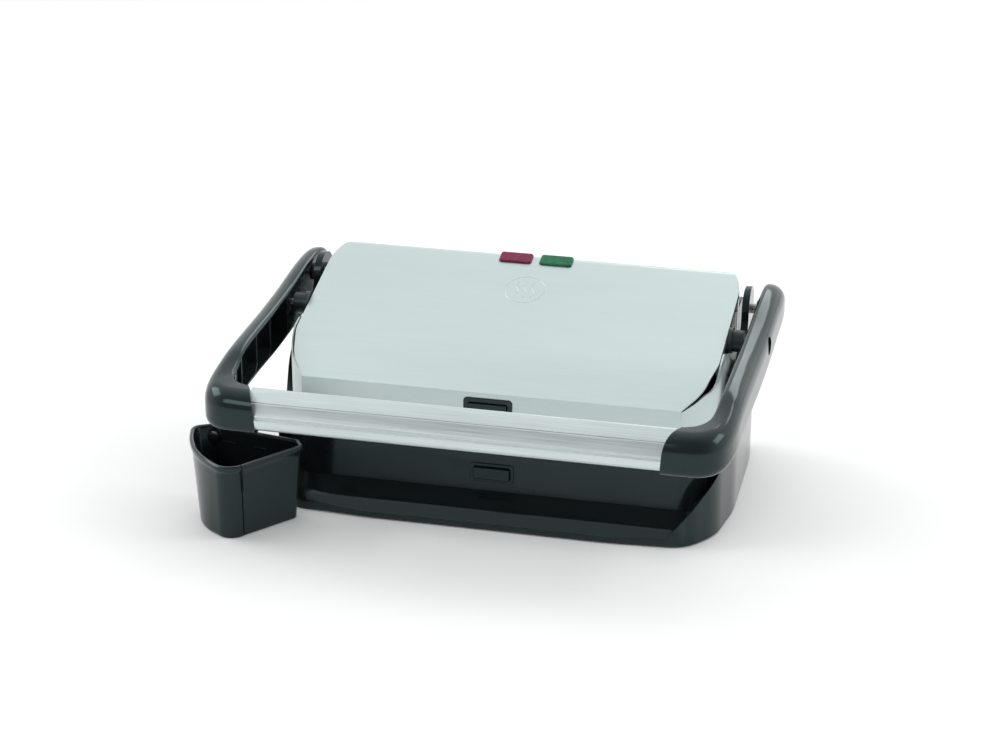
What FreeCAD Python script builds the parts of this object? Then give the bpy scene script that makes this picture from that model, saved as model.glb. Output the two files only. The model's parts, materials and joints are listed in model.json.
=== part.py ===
"""Panini press: a contact grill whose lid floats between the two arms of a hinged handle.

The press is laid out about its own middle plane: X to the right, Y back from the fold at the top of
the lid's front, Z up from the table.  Every sub-part is then shifted by frame_shift_x and
frame_shift_y, so that the origin lies under the middle of the whole assembly, cup included.
"""
import FreeCAD, Part
import math
import os

Vector = FreeCAD.Vector
Rotation = FreeCAD.Rotation
Placement = FreeCAD.Placement

doc = FreeCAD.newDocument("panini_press")
dims = doc.addObject("Spreadsheet::Sheet", "dims")

SIZES = {
    # where the press stands in the assembly's frame
    "frame_shift_x": 15.45, "frame_shift_y": -50.5,
    # base: footprint, sill and wings
    "base_half_width": 171.0, "base_front": -18.0, "base_rear": 190.0, "base_bottom": 1.5,
    "sill_height": 19.0, "sill_lip": 5.0, "housing_front": 11.8, "housing_half_width": 163.0,
    "housing_rear": 184.0, "housing_front_radius": 26.0, "housing_rear_radius": 20.0,
    "housing_top": 58.0, "wall": 2.5, "wing_start": 50.0,
    # hinge of the handle, and the pivot on which the lid floats
    "hinge_back": 130.0, "hinge_up": 135.0, "hinge_pin_radius": 4.0, "tower_radius": 16.0,
    "float_back": 80.0, "float_up": 126.5, "float_pin_radius": 3.0, "running_gap": 0.05,
    # handle
    "handle_half_width": 190.0, "arm_inner": 172.3, "arm_end": 143.0,
    "bar_front": -93.0,
    # lid
    "lid_half_width": 159.8, "cover_half_width": 159.0, "fascia_half_width": 140.5,
    "sheet": 1.2, "fold_up": 99.6, "bend_back": 35.0, "bend_up": 117.0,
    "ridge_back": 150.0, "ridge_up": 155.5, "lip_back": 15.2, "lip_drop": 16.0,
    "lid_rear": 184.0, "lid_bottom": 66.0, "lid_front_radius": 44.0, "lid_rear_radius": 66.0,
    "cover_rear_radius": 44.0,
    "fascia_bottom": 68.0, "lid_swing_radius": 66.0, "band_back": 100.0,
    # plates
    "plate_half_width": 137.5, "plate_front": 16.0, "plate_rear": 127.0,
    "rib_width": 3.4, "rib_pitch": 9.6, "rib_count": 27.0, "lower_ribs_top": 60.0,
    "upper_ribs_bottom": 64.4, "element_radius": 3.25,
    # buttons
    "lower_button_up": 32.8, "upper_button_up": 87.6,
    # lamps
    "lens_back": 145.0, "lens_inner": 3.1, "lens_outer": 28.4, "lens_depth": 11.6,
    "lamp_across": 15.7, "lamp_radius": 2.4, "lamp_length": 15.0, "lamp_depth": 9.3,
    # cup
    "cup_height": 58.0, "cup_wall": 2.2,
    # fixings
    "foot_radius": 9.0, "screw_radius": 1.9, "screw_head_radius": 3.6,
}
for row, (alias, value) in enumerate(SIZES.items(), start=1):
    dims.set("A%d" % row, alias)
    dims.set("B%d" % row, str(value))
    dims.setAlias("B%d" % row, alias)
doc.recompute()


def size(alias):
    """The value of one driving dimension, in mm."""
    return float(dims.get(alias))


def vector_in(plane, across, along, height=0.0):
    """A point of the press from two sketch coordinates on a main plane and a distance off it."""
    if plane == "XY":
        return Vector(across, along, height)
    if plane == "XZ":
        return Vector(across, height, along)
    return Vector(height, across, along)


def corner_points(previous, here, following, radius):
    """Start, middle and end of the arc that rounds one corner of an outline."""
    to_previous = (previous - here).normalize()
    to_following = (following - here).normalize()
    half = to_previous.getAngle(to_following) / 2
    setback = radius / math.tan(half)
    centre = here + (to_previous + to_following).normalize() * (radius / math.sin(half))
    middle = centre + (here - centre).normalize() * radius
    return here + to_previous * setback, middle, here + to_following * setback


def rounded_outline(points):
    """Lines and arcs of a closed outline given as (across, along) or (across, along, corner radius)."""
    corners = [Vector(point[0], point[1], 0) for point in points]
    stretches = []
    for index, point in enumerate(points):
        here = corners[index]
        if len(point) == 3:
            previous = corners[index - 1]
            following = corners[(index + 1) % len(points)]
            start, middle, end = corner_points(previous, here, following, point[2])
            stretches.append((start, end, Part.Arc(start, middle, end)))
        else:
            stretches.append((here, here, None))
    geometry = []
    for index, (start, end, arc) in enumerate(stretches):
        if arc is not None:
            geometry.append(arc)
        next_start = stretches[(index + 1) % len(stretches)][0]
        if end.distanceToPoint(next_start) > 1e-6:
            geometry.append(Part.LineSegment(end, next_start))
    return geometry


TURN = {
    "XY": Rotation(),
    "XZ": Rotation(Vector(1, 0, 0), Vector(0, 0, 1), Vector(0, -1, 0), "ZXY"),
    "YZ": Rotation(Vector(0, 1, 0), Vector(0, 0, 1), Vector(1, 0, 0), "ZXY"),
}


def prism(name, plane, points, start, end):
    """A straight solid over an outline on a main plane, from one distance off that plane to another.

    start and end are numbers or spreadsheet expressions.
    """
    sketch = doc.addObject("Sketcher::SketchObject", name + "_outline")
    sketch.Placement = Placement(Vector(), TURN[plane])
    sketch.addGeometry(rounded_outline(points), False)
    solid = doc.addObject("Part::Extrusion", name)
    solid.Base = sketch
    solid.DirMode = "Normal"
    solid.Solid = True
    # the XZ sketch looks towards -Y, so its lengths run the other way
    ahead, behind = ("LengthFwd", "LengthRev") if plane != "XZ" else ("LengthRev", "LengthFwd")
    solid.setExpression(ahead, "(%s) * 1mm" % plain(end))
    solid.setExpression(behind, "-(%s) * 1mm" % plain(start))
    return solid


def plain(value):
    """Text for an expression: a number stays a number, and a size name is looked up in the sheet."""
    if isinstance(value, str):
        for alias in sorted(SIZES, key=len, reverse=True):
            value = value.replace(alias, "dims." + alias) if "dims." + alias not in value else value
        return value
    return repr(float(value))


def cylinder(name, plane, across, along, radius, start, end):
    """A round bar square to a main plane, from one distance off the plane to another."""
    bar = doc.addObject("Part::Cylinder", name)
    bar.setExpression("Radius", "(%s) * 1mm" % plain(radius))
    bar.Height = end - start
    axis = {"XY": Vector(0, 0, 1), "XZ": Vector(0, 1, 0), "YZ": Vector(1, 0, 0)}[plane]
    bar.Placement = Placement(vector_in(plane, across, along, start), Rotation(Vector(0, 0, 1), axis))
    return bar


def box(name, low, high):
    """A plain block between two corners."""
    block = doc.addObject("Part::Box", name)
    block.Length = high[0] - low[0]
    block.Width = high[1] - low[1]
    block.Height = high[2] - low[2]
    block.Placement = Placement(Vector(*low), Rotation())
    return block


def cut(name, base, *tools):
    """The base with every tool taken out of it."""
    result = doc.addObject("Part::Cut", name)
    result.Base = base
    result.Tool = tools[0] if len(tools) == 1 else fuse(name + "_tools", *tools)
    return result


def fuse(name, *solids):
    """Several solids joined into one."""
    result = doc.addObject("Part::MultiFuse", name)
    result.Shapes = list(solids)
    result.Refine = True
    return result


def common(name, *solids):
    """What several solids share."""
    result = doc.addObject("Part::MultiCommon", name)
    result.Shapes = list(solids)
    return result


def group(name, solids):
    """Separate identical solids kept together as one sub-part."""
    result = doc.addObject("Part::Compound", name)
    result.Links = solids
    return result


def mirrored(name, source):
    """The same solid on the other side of the middle plane."""
    result = doc.addObject("Part::Mirroring", name)
    result.Source = source
    result.Normal = Vector(1, 0, 0)
    result.Base = Vector(0, 0, 0)
    return result


def fillet(name, base, radius, wanted):
    """The base with the edges that the test picks rounded."""
    doc.recompute()
    result = doc.addObject("Part::Fillet", name)
    result.Base = base
    result.Edges = [
        (number, radius, radius)
        for number, edge in enumerate(base.Shape.Edges, start=1)
        if wanted(edge)
    ]
    return result


def pipe(name, points, radius):
    """A round tube along straight runs joined by tangent arcs; points are (x, y, z, corner radius)."""
    corners = [Vector(*point[:3]) for point in points]
    edges = []
    here = corners[0]
    for index in range(1, len(points) - 1):
        start, middle, end = corner_points(
            corners[index - 1], corners[index], corners[index + 1], points[index][3])
        edges.append(Part.LineSegment(here, start).toShape())
        edges.append(Part.Arc(start, middle, end).toShape())
        here = end
    edges.append(Part.LineSegment(here, corners[-1]).toShape())
    path = Part.Wire(edges)
    section = Part.Wire([Part.makeCircle(radius, corners[0], corners[1] - corners[0])])
    tube = doc.addObject("Part::Feature", name)
    tube.Shape = path.makePipeShell([section], True, False)
    return tube


def coil(name, centre_x, start_y, centre_z, coil_radius, wire_radius, length, turns):
    """A compression spring whose axis runs along Y."""
    helix = Part.makeHelix(length / turns, length, coil_radius)
    section = Part.Wire([Part.makeCircle(wire_radius, Vector(coil_radius, 0, 0), Vector(0, 1, 0.15))])
    spring = doc.addObject("Part::Feature", name)
    spring.Shape = helix.makePipeShell([section], True, True)
    spring.Placement = Placement(
        Vector(centre_x, start_y, centre_z), Rotation(Vector(0, 0, 1), Vector(0, 1, 0)))
    return spring


# Outlines shared by several sub-parts

def housing_plan(inset, front, rear, half_width, front_radius, rear_radius):
    """Plan of a housing: a rectangle with large front corners and smaller rear ones."""
    return [
        (-half_width + inset, front + inset, max(front_radius - inset, 1.0)),
        (half_width - inset, front + inset, max(front_radius - inset, 1.0)),
        (half_width - inset, rear - inset, max(rear_radius - inset, 1.0)),
        (-half_width + inset, rear - inset, max(rear_radius - inset, 1.0)),
    ]


def footprint(inset):
    """Plan of the base: a bowed outline, widest a third of the way back."""
    half = size("base_half_width") - inset
    front = size("base_front") + inset
    rear = size("base_rear") - inset
    return [
        (-half + 4, 150, 60), (-half + 7, rear, 24), (half - 7, rear, 24), (half - 4, 150, 60),
        (half, 60, 120), (half - 5, 14, 46), (half - 22, front + 5, 26), (90, front, 300),
        (-90, front, 300), (-half + 22, front + 5, 26), (-half + 5, 14, 46), (-half, 60, 120),
    ]


def inset_line(points, depth):
    """An open line of outline points moved to its right by depth, its corner radii made to suit."""
    corners = [Vector(point[0], point[1], 0) for point in points]
    normals = [Vector(there.y - here.y, here.x - there.x, 0).normalize()
               for here, there in zip(corners, corners[1:])]
    normals = [normals[0]] + normals + [normals[-1]]
    moved = []
    for point, corner, before, after in zip(points, corners, normals, normals[1:]):
        place = corner + (before + after) * (depth / (1 + before.dot(after)))
        moved.append((place.x, place.y) + tuple(max(radius - depth, 1.0) for radius in point[2:]))
    return moved


def cover_top(depth, front):
    """Side view of the lid's top surface moved inwards by depth, from the front to the rear lip."""
    rise = (size("bend_up") - size("fold_up")) / size("bend_back")
    ridge_back = size("ridge_back")
    ridge_up = size("ridge_up")
    return inset_line([
        (front, size("fold_up") + rise * front),
        (size("bend_back"), size("bend_up"), 160.0),
        (ridge_back, ridge_up, 9.0),
        (ridge_back + 14.0, ridge_up - 9.0, 14.0),
        (ridge_back + size("lip_back"), ridge_up - size("lip_drop")),
    ], depth)


# Base

outline_block = prism("base_block", "XY", footprint(0), "base_bottom", 160.0)
sill = prism("sill_region", "YZ", [
    (-26, 0), (-26, size("sill_lip")), (size("base_front"), size("sill_lip"), 3.0),
    (size("base_front") + 10, size("sill_lip") + 7, 14.0),
    (size("housing_front") + 1, size("sill_height")), (60, size("sill_height")),
    (200, size("sill_height")), (200, 0)], -180, 180)
wing_front = prism("wing_front_region", "XZ", [
    (133, 0), (133, 6), (150, 25, 80), (165.5, 45, 60), (171.2, 60), (173, 68), (180, 68), (180, 0)],
    -26, "wing_start")
wing_side = prism("wing_side_region", "YZ", [
    (size("wing_start") - 2, 0), (size("wing_start") - 2, 66), (58, 88, 40), (70, 101, 16),
    (92, 104, 20),
    (size("hinge_back") - size("tower_radius"), size("hinge_up") - 8, 20),
    (size("hinge_back") - size("tower_radius"), size("hinge_up") + size("tower_radius"), 15.9),
    (size("hinge_back") + size("tower_radius"), size("hinge_up") + size("tower_radius"), 15.9),
    (size("hinge_back") + size("tower_radius") + 2, size("hinge_up") - 24, 30),
    (180, 74, 24), (196, 62), (196, 0)], 150, 180)
rear_wall = prism("rear_region", "XY", [(-180, 178), (180, 178), (180, 200), (-180, 200)], 0, 56)
regions = fuse("base_regions", sill, wing_front, mirrored("wing_front_left", wing_front),
               wing_side, mirrored("wing_side_left", wing_side), rear_wall)
base_outer = common("base_outer", outline_block, regions)
housing_room = prism("housing_room", "XY", housing_plan(
    -0.2, size("housing_front"), size("housing_rear"), size("housing_half_width"),
    size("housing_front_radius"), size("housing_rear_radius")), -1, 170)
tower_room = box("tower_room", (-161.5, 95, 60), (161.5, 175, 170))
under_room = prism("under_room", "XY", footprint(3.0), -1, 6.0)
inlet_opening = cylinder("inlet_opening", "XZ", 110, 30, 6.0, 170, 195)
hinge_holes = cylinder("hinge_holes", "YZ", size("hinge_back"), size("hinge_up"),
                       "hinge_pin_radius", -175, 175)
foot_rooms = [cylinder("storage_foot_room_%d" % number, "XZ", side * 155, 18, 7.0, 180, 200)
              for number, side in enumerate((-1, 1))]
base_shell = cut("base_shell", base_outer, housing_room, tower_room, under_room, hinge_holes,
                 inlet_opening, *foot_rooms)

housing_block = prism("lower_block", "XY", housing_plan(
    0, size("housing_front"), size("housing_rear"), size("housing_half_width"),
    size("housing_front_radius"), size("housing_rear_radius")),
    6.2, "housing_top")
housing_hollow = prism("lower_hollow", "XY", housing_plan(
    size("wall"), size("housing_front"), size("housing_rear"), size("housing_half_width"),
    size("housing_front_radius"), size("housing_rear_radius")),
    0, "housing_top - wall")
plate_opening = prism("lower_plate_opening", "XY", housing_plan(
    0, size("plate_front") - 1, size("plate_rear") + 1, size("plate_half_width") + 1, 12, 12), 40, 70)
button_opening = box("lower_button_opening", (-14.4, 5, 27.5), (14.4, 20, 38.1))
spout_notch = box("spout_notch", (-126.5, 5, 50.2), (-111.5, 20, 60))
lower_housing = cut("lower_housing", housing_block, housing_hollow, plate_opening, button_opening,
                    spout_notch, inlet_opening)

bottom_cover_plate = prism("bottom_cover_plate", "XY", footprint(3.4), 2.0, 4.5)
screw_spots = [(x, y) for x in (-140, 140) for y in (25, 95, 165)]
cover_holes = [cylinder("cover_hole_%d" % number, "XY", x, y, "screw_radius + 0.2", 0, 6)
               for number, (x, y) in enumerate(screw_spots)]
vents = [box("vent_%d" % number, (-60 + 15 * number, 60, 0), (-54 + 15 * number, 130, 6))
         for number in range(9)]
bottom_cover = cut("bottom_cover", bottom_cover_plate, *(cover_holes + vents))


def countersunk_screw(name, x, y, z, length, up):
    """A screw whose head lies at z and whose shank runs from it along Z, upwards if up is 1."""
    shank = cylinder(name + "_shank", "XY", x, y, "screw_radius", min(z, z + up * length),
                     max(z, z + up * length))
    head = cylinder(name + "_head", "XY", x, y, "screw_head_radius", min(z, z - up * 1.6),
                    max(z, z - up * 1.6))
    return fuse(name, shank, head)


bottom_screws = group("bottom_screws", [
    countersunk_screw("bottom_screw_%d" % number, x, y, 2.0, 10, 1)
    for number, (x, y) in enumerate(screw_spots)])
rubber_feet = group("rubber_feet", [
    cylinder("foot_%d" % number, "XY", x, y, "foot_radius", 0.0, 2.0)
    for number, (x, y) in enumerate([(x, y) for x in (-118, 118) for y in (12, 168)])])
storage_feet = group("storage_feet", [
    cylinder("storage_foot_%d" % number, "XZ", side * 155, 18, 6.95, 184.1, 194.0)
    for number, side in enumerate((-1, 1))])


# Cooking plates: a slab with ribs, a raised rim and, below, a drain spout

def ribs(name, bottom, top):
    """The row of ribs that marks the bread, running front to back."""
    count = int(size("rib_count"))
    first = -size("rib_pitch") * (count - 1) / 2
    front = size("plate_front") + 8
    rear = size("plate_rear") - 8
    row = []
    for number in range(count):
        middle = first + number * size("rib_pitch")
        row.append(box("%s_%02d" % (name, number), (middle - size("rib_width") / 2, front, bottom),
                       (middle + size("rib_width") / 2, rear, top)))
    return row


def plate_plan(inset):
    """Plan of a plate."""
    return housing_plan(inset, size("plate_front"), size("plate_rear"), size("plate_half_width"), 11, 11)


lower_top = size("lower_ribs_top")
slab_top = lower_top - 4.0
lower_slab = prism("lower_slab", "XY", plate_plan(0), slab_top - 4.0, lower_top - 0.4)
lower_well = prism("lower_well", "XY", plate_plan(3.5), slab_top, lower_top + 5)
lower_flange = prism("lower_flange", "XY", plate_plan(-3.0), "housing_top + 0.1", lower_top)
spout = box("spout_block", (-126, 3, slab_top - 4.0), (-112, 24, lower_top - 1.5))
spout_channel = box("spout_channel", (-123.5, 0, slab_top - 1.5), (-114.5, 28, lower_top + 5))
lower_dish = cut("lower_dish", fuse("lower_dish_block", lower_slab, lower_flange, spout),
                 lower_well, spout_channel)
lower_plate = fuse("lower_plate", lower_dish, *ribs("lower_rib", slab_top - 1.0, lower_top))

upper_bottom = size("upper_ribs_bottom")
upper_slab_bottom = upper_bottom + 4.0
upper_slab = prism("upper_slab", "XY", plate_plan(0), upper_bottom + 0.4, upper_slab_bottom + 4.0)
upper_well = prism("upper_well", "XY", plate_plan(3.5), upper_bottom - 5, upper_slab_bottom)
upper_dish = cut("upper_dish", upper_slab, upper_well)
upper_plate = fuse("upper_plate", upper_dish,
                   *ribs("upper_rib", upper_bottom, upper_slab_bottom + 1.0))


# Heating elements, pans and cut-outs

def element(name, z, tail_z):
    """A rod bent into a U that runs out through two tails at the rear."""
    return pipe(name, [
        (-60, 120, tail_z, 0), (-60, 120, z, 6), (-60, 104, z, 8), (-108, 104, z, 14),
        (-108, 40, z, 20), (108, 40, z, 20), (108, 104, z, 14), (60, 104, z, 8),
        (60, 120, z, 6), (60, 120, tail_z, 0)], size("element_radius"))


def pan(name, low, high, open_up):
    """A shallow sheet-metal pan over or under an element."""
    outer = box(name + "_outer", (-124, 28, low), (124, 124.5, high))
    inner_low, inner_high = (low + 0.8, high + 1) if open_up else (low - 1, high - 0.8)
    inner = box(name + "_inner", (-123.2, 28.8, inner_low), (123.2, 123.7, inner_high))
    tails = [cylinder("%s_tail_%d" % (name, number), "XY", side * 60, 120, 4.4, low - 2, high + 2)
             for number, side in enumerate((-1, 1))]
    return cut(name, outer, inner, *tails)


lower_element_up = slab_top - 4.0 - size("element_radius") - 0.02
upper_element_up = upper_slab_bottom + 4.0 + size("element_radius") + 0.02
lower_element = element("lower_element", lower_element_up, lower_element_up - 14)
upper_element = element("upper_element", upper_element_up, upper_element_up + 14)
lower_reflector = pan("lower_reflector", lower_element_up - 7, slab_top - 4.6, True)
upper_reflector = pan("upper_reflector", upper_slab_bottom + 4.6, upper_element_up + 7, False)


def brackets(name, z, thickness):
    """Four straps that hold an element against its plate."""
    return group(name, [
        box("%s_%d" % (name, number), (x - 7, y - 5, z), (x + 7, y + 5, z + thickness))
        for number, (x, y) in enumerate([(-60, 40), (60, 40), (-108, 74), (108, 74)])])


lower_brackets = brackets("lower_element_clips", lower_element_up - size("element_radius") - 1.3, 1.2)
upper_brackets = brackets("upper_element_clips", upper_element_up + size("element_radius") + 0.1, 1.2)


def thermostat(name, z, up):
    """A disc thermostat with two flat terminals; up is 1 when its back points upwards."""
    disc = cylinder(name + "_disc", "XY", 0, 74, 8.0, min(z, z + up * 6), max(z, z + up * 6))
    tabs = [box("%s_tab_%d" % (name, number), (side * 4 - 1.5, 73.6, min(z + up * 5, z + up * 13)),
                (side * 4 + 1.5, 74.4, max(z + up * 5, z + up * 13)))
            for number, side in enumerate((-1, 1))]
    return fuse(name, disc, *tabs)


lower_thermostat = thermostat("lower_thermostat", lower_element_up - 7.1, -1)
upper_thermostat = thermostat("upper_thermostat", upper_element_up + 7.1, 1)
fuse_body = cylinder("fuse_body", "YZ", 60, 32.0, 2.6, 20, 42)
fuse_lead = cylinder("fuse_lead", "YZ", 60, 32.0, 0.7, 10, 52)
thermal_fuse = fuse("thermal_fuse", fuse_body, fuse_lead)
terminal_base = box("terminal_base", (86, 140, 5), (126, 160, 18))
terminal_posts = [cylinder("terminal_post_%d" % number, "XY", 93 + 13 * number, 150, 3.4, 17, 23)
                  for number in range(3)]
terminal_block = fuse("terminal_block", terminal_base, *terminal_posts)
gland_tube = cylinder("gland_tube", "XZ", 110, 30, 5.95, 172, 193)
gland_flange = cylinder("gland_flange", "XZ", 110, 30, 8.5, 190.1, 193.5)
gland_inner = cylinder("gland_inner", "XZ", 110, 30, 8.5, 176, 181.3)
gland_bore = cylinder("gland_bore", "XZ", 110, 30, 3.7, 160, 200)
inlet_gland = cut("inlet_gland", fuse("gland_body", gland_tube, gland_flange, gland_inner), gland_bore)
base_wiring = group("base_wiring", [
    pipe("wire_left", [(93, 150, 23.1, 0), (93, 150, 30, 4), (93, 128, 30, 5), (-50, 128, 30, 8),
                       (-60, 120, 30, 3), (-60, 120, 34.5, 0)], 1.3),
    pipe("wire_right", [(106, 150, 23.1, 0), (106, 150, 28, 3), (106, 138, 28, 4), (60, 138, 28, 6),
                        (60, 120, 28, 3), (60, 120, 34.5, 0)], 1.3)])


# Buttons: a bezel in the housing, a cap that slides in it, a latch tongue behind and a spring

def rounded_plate(name, half_width, low, high, radius, front, back):
    """A block with rounded corners seen from the front."""
    return prism(name, "XZ", [
        (-half_width, low, radius), (half_width, low, radius), (half_width, high, radius),
        (-half_width, high, radius)], front, back)


def button_set(name, up, face, half_width, half_height, rim, latch_z, latch_back):
    """Bezel, cap and latch of one release button on a wall whose outer face is at Y = face."""
    bezel_block = rounded_plate(name + "_bezel_block", half_width + rim, up - half_height - rim,
                                up + half_height + rim, 3.0, face - 0.9, face - 0.02)
    sleeve = rounded_plate(name + "_sleeve", half_width + 0.7, up - half_height - 0.7,
                           up + half_height + 0.7, 1.6, face - 0.5, face + 5.0)
    opening = rounded_plate(name + "_cap_room", half_width + 0.15, up - half_height - 0.15,
                            up + half_height + 0.15, 1.4, face - 5, face + 8)
    bezel = cut(name + "_bezel", fuse(name + "_bezel_body", bezel_block, sleeve), opening)
    cap_block = rounded_plate(name + "_cap_block", half_width, up - half_height, up + half_height,
                              1.3, face - 3.4, face + 4.0)
    cap = fillet(name, cap_block, 0.7, lambda edge: edge.BoundBox.YMax < face - 3.3)
    tongue = box(name + "_tongue", (-4, face + 4.0, up - 2.0), (4, latch_back, up + 0.2))
    arm = box(name + "_tooth", (-4, latch_back - 2.0, min(up - 2.0, latch_z)),
              (4, latch_back, max(up + 0.2, latch_z)))
    return bezel, cap, fuse(name + "_latch", tongue, arm)


lower_bezel, lower_button, lower_latch = button_set(
    "lower_button", size("lower_button_up"), size("housing_front"), 13.6, 4.5, 2.9, 47.4, 23.5)
upper_bezel, upper_button, upper_latch = button_set(
    "upper_button", size("upper_button_up"), 0.0, 14.3, 4.2, 3.8, 76.8, 23.5)
lower_spring = coil("lower_button_spring", 9, size("housing_front") + 4.45, size("lower_button_up"),
                    2.4, 0.35, 7.6, 5)
upper_spring = coil("upper_button_spring", 9, 4.45, size("upper_button_up"), 2.4, 0.35, 7.6, 5)


# Lid

def lid_side_view(depth, front, rear, bottom, swing_radius):
    """Side view of the lid: the folded top, a step for the cover's rear lip, the rear edge, and the
    arc that rolls past the base."""
    back = size("hinge_back")
    up = size("hinge_up")
    top = cover_top(depth, front)
    step = (size("ridge_back") + size("lip_back") + 2.8 - depth,
            size("ridge_up") - size("lip_drop") - 0.2 - 0.6 * depth)
    rear_low = up - math.sqrt(swing_radius ** 2 - (rear - back) ** 2)
    middle = back + (rear - back) * 0.55
    middle_low = up - math.sqrt(swing_radius ** 2 - (middle - back) ** 2)
    return top + [
        step, (rear, size("ridge_up") - depth - 42.0, 16.0),
        (rear, rear_low), (middle, middle_low, 40.0), (back, up - swing_radius), (back - 4, bottom),
        (front, bottom),
    ]


def lid_plan(inset):
    """Plan of the lid's housing."""
    return housing_plan(inset, 1.4, size("lid_rear"), size("lid_half_width"),
                        size("lid_front_radius"), size("lid_rear_radius"))


lid_block = common(
    "lid_block",
    prism("lid_plan_block", "XY", lid_plan(0), 60, 160),
    prism("lid_side_block", "YZ", lid_side_view(1.5, -10, size("lid_rear"), size("lid_bottom"),
                                                size("lid_swing_radius")), -170, 170))
lid_hollow = common(
    "lid_hollow",
    prism("lid_plan_hollow", "XY", lid_plan(2.4), 55, 160),
    prism("lid_side_hollow", "YZ", lid_side_view(4.0, -12, size("lid_rear") - 2.5, 50,
                                                 size("lid_swing_radius") - 2.5), -170, 170))

def cover_outline(inset):
    """Plan of the folded cover: square at the front fold, then swept out round the corners."""
    fascia = size("fascia_half_width") - inset
    half = size("cover_half_width") - inset
    rear_round = size("cover_rear_radius")
    return [
        (-fascia, inset - 1), (fascia, inset - 1), (fascia, inset + 1.5, 3), (152.5 - inset, 18 + inset, 40),
        (half, 44 + inset / 2, 30), (half, 168, rear_round), (-half, 168, rear_round),
        (-half, 44 + inset / 2, 30),
        (-152.5 + inset, 18 + inset, 40), (-fascia, inset + 1.5, 3),
    ]


BAND_TOP = [
    (-5, 84), (9, 98, 20), (20, 105, 20), (32, 107.5, 14), (45, 121, 10), (57, 124.5, 10),
    (72, 118.5, 30), (98, 104, 5)]


def corner_zone(name, grow, inset, drop):
    """The corner spaces beside the cover's swept edge, above the band's top line lowered by drop."""
    above = prism(name + "_above", "YZ", [
        (-5, 98.2 - drop), (25, 100.5 - drop, 60), (42, 103.0 - drop), (42, 160), (-5, 160)], -180, 180)
    beside = cut(name + "_beside", prism(name + "_plan", "XY", housing_plan(
        -grow, 1.4, size("lid_rear"), size("lid_half_width"), size("lid_front_radius"),
        size("lid_rear_radius")), 60, 165),
        prism(name + "_cover", "XY", cover_outline(inset), 50, 170))
    return common(name, above, beside)


outer_corners = corner_zone("outer_corners", 2.0, 3.0, 4.2)
inner_corners = corner_zone("inner_corners", 2.0, 5.5, 6.7)
lid_room = cut("lid_room", lid_hollow, inner_corners)
rear_opening = prism("rear_cover_opening", "XY", [
    (-120, 129, 4), (120, 129, 4), (120, 176, 4), (-120, 176, 4)], 60, 100)

LENS_SLOPE = math.degrees(math.atan2(size("ridge_up") - size("bend_up"),
                                     size("ridge_back") - size("bend_back")))


def top_at(back):
    """Height of the cover's rear slope at a distance from the front fold."""
    slope = math.tan(math.radians(LENS_SLOPE))
    return size("bend_up") + (back - size("bend_back")) * slope


def on_slope(name, low, high, radius):
    """A block with rounded corners in the tilted frame of the cover's rear slope.

    Its low and high corners are measured from the slope at the lens row's middle.
    """
    sketch = doc.addObject("Sketcher::SketchObject", name + "_outline")
    sketch.addGeometry(rounded_outline([
        (low[0], low[1], radius), (high[0], low[1], radius), (high[0], high[1], radius),
        (low[0], high[1], radius)]), False)
    block = doc.addObject("Part::Extrusion", name)
    block.Base = sketch
    block.DirMode = "Custom"
    block.Dir = Vector(0, 0, 1)
    block.LengthFwd = high[2]
    block.LengthRev = -low[2]
    block.Solid = True
    block.Placement = Placement(
        Vector(0, size("lens_back"), top_at(size("lens_back"))),
        Rotation(Vector(1, 0, 0), LENS_SLOPE))
    return block


lens_half = size("lens_depth") / 2
lens_rooms = [on_slope("lens_room_%d" % number, (x0 - 0.15, -lens_half - 0.15, -9),
                       (x1 + 0.15, lens_half + 0.15, 6), 2.4)
              for number, (x0, x1) in enumerate([
                  (-size("lens_outer"), -size("lens_inner")), (size("lens_inner"), size("lens_outer"))])]
button_room = box("upper_button_room", (-16, -5, 82), (16, 8, 93))
housing_shell = cut("lid_housing", lid_block, lid_room, outer_corners, rear_opening, button_room,
                    *lens_rooms)

rear_arc = prism("rear_arc_region", "YZ", lid_side_view(
    1.5, -10, size("lid_rear"), size("lid_bottom"), size("lid_swing_radius")), -119.6, 119.6)
rear_void = prism("rear_void_region", "YZ", lid_side_view(
    4.0, -12, size("lid_rear") + 6, 50, size("lid_swing_radius") - 2.5), -130, 130)
rear_window = prism("rear_window", "XY", [
    (-119.6, 129.4, 4), (119.6, 129.4, 4), (119.6, 175.6, 4), (-119.6, 175.6, 4)], 60, 100)
lid_rear_cover = cut("lid_rear_cover", common("rear_panel", rear_arc, rear_window), rear_void)

# ring of the upper housing that carries the plate
frame_block = prism("frame_block", "XY", lid_plan(2.6)[:2] + [
    (size("lid_half_width") - 2.6, 126.9 + 2.0), (-size("lid_half_width") + 2.6, 126.9 + 2.0)], 69.5, 72.0)
frame_opening = prism("frame_opening", "XY", plate_plan(-0.3), 60, 80)
lid_screw_spots = [(x, y) for x in (-148, 148) for y in (40, 118)]
frame_holes = [cylinder("frame_hole_%d" % number, "XY", x, y, "screw_radius", 60, 80)
               for number, (x, y) in enumerate(lid_screw_spots)]
upper_plate_frame = cut("upper_plate_frame", frame_block, frame_opening, *frame_holes)

# folded steel cover
sheet = size("sheet")
cover_region = prism("cover_region", "YZ", cover_top(0, 0) + cover_top(sheet, 0)[:0:-1] + [
    (sheet, size("fold_up") - sheet * 0.6), (sheet, size("fascia_bottom")), (0, size("fascia_bottom"))],
    -170, 170)
cover_plan = prism("cover_plan", "XY", cover_outline(0), 50, 170)
button_hole = rounded_plate("cover_button_hole", 15.1, size("upper_button_up") - 5.0,
                            size("upper_button_up") + 5.0, 1.7, -3, 3)
lid_cover = cut("lid_cover", common("cover_sheet", cover_region, cover_plan), button_hole, *lens_rooms)

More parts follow.
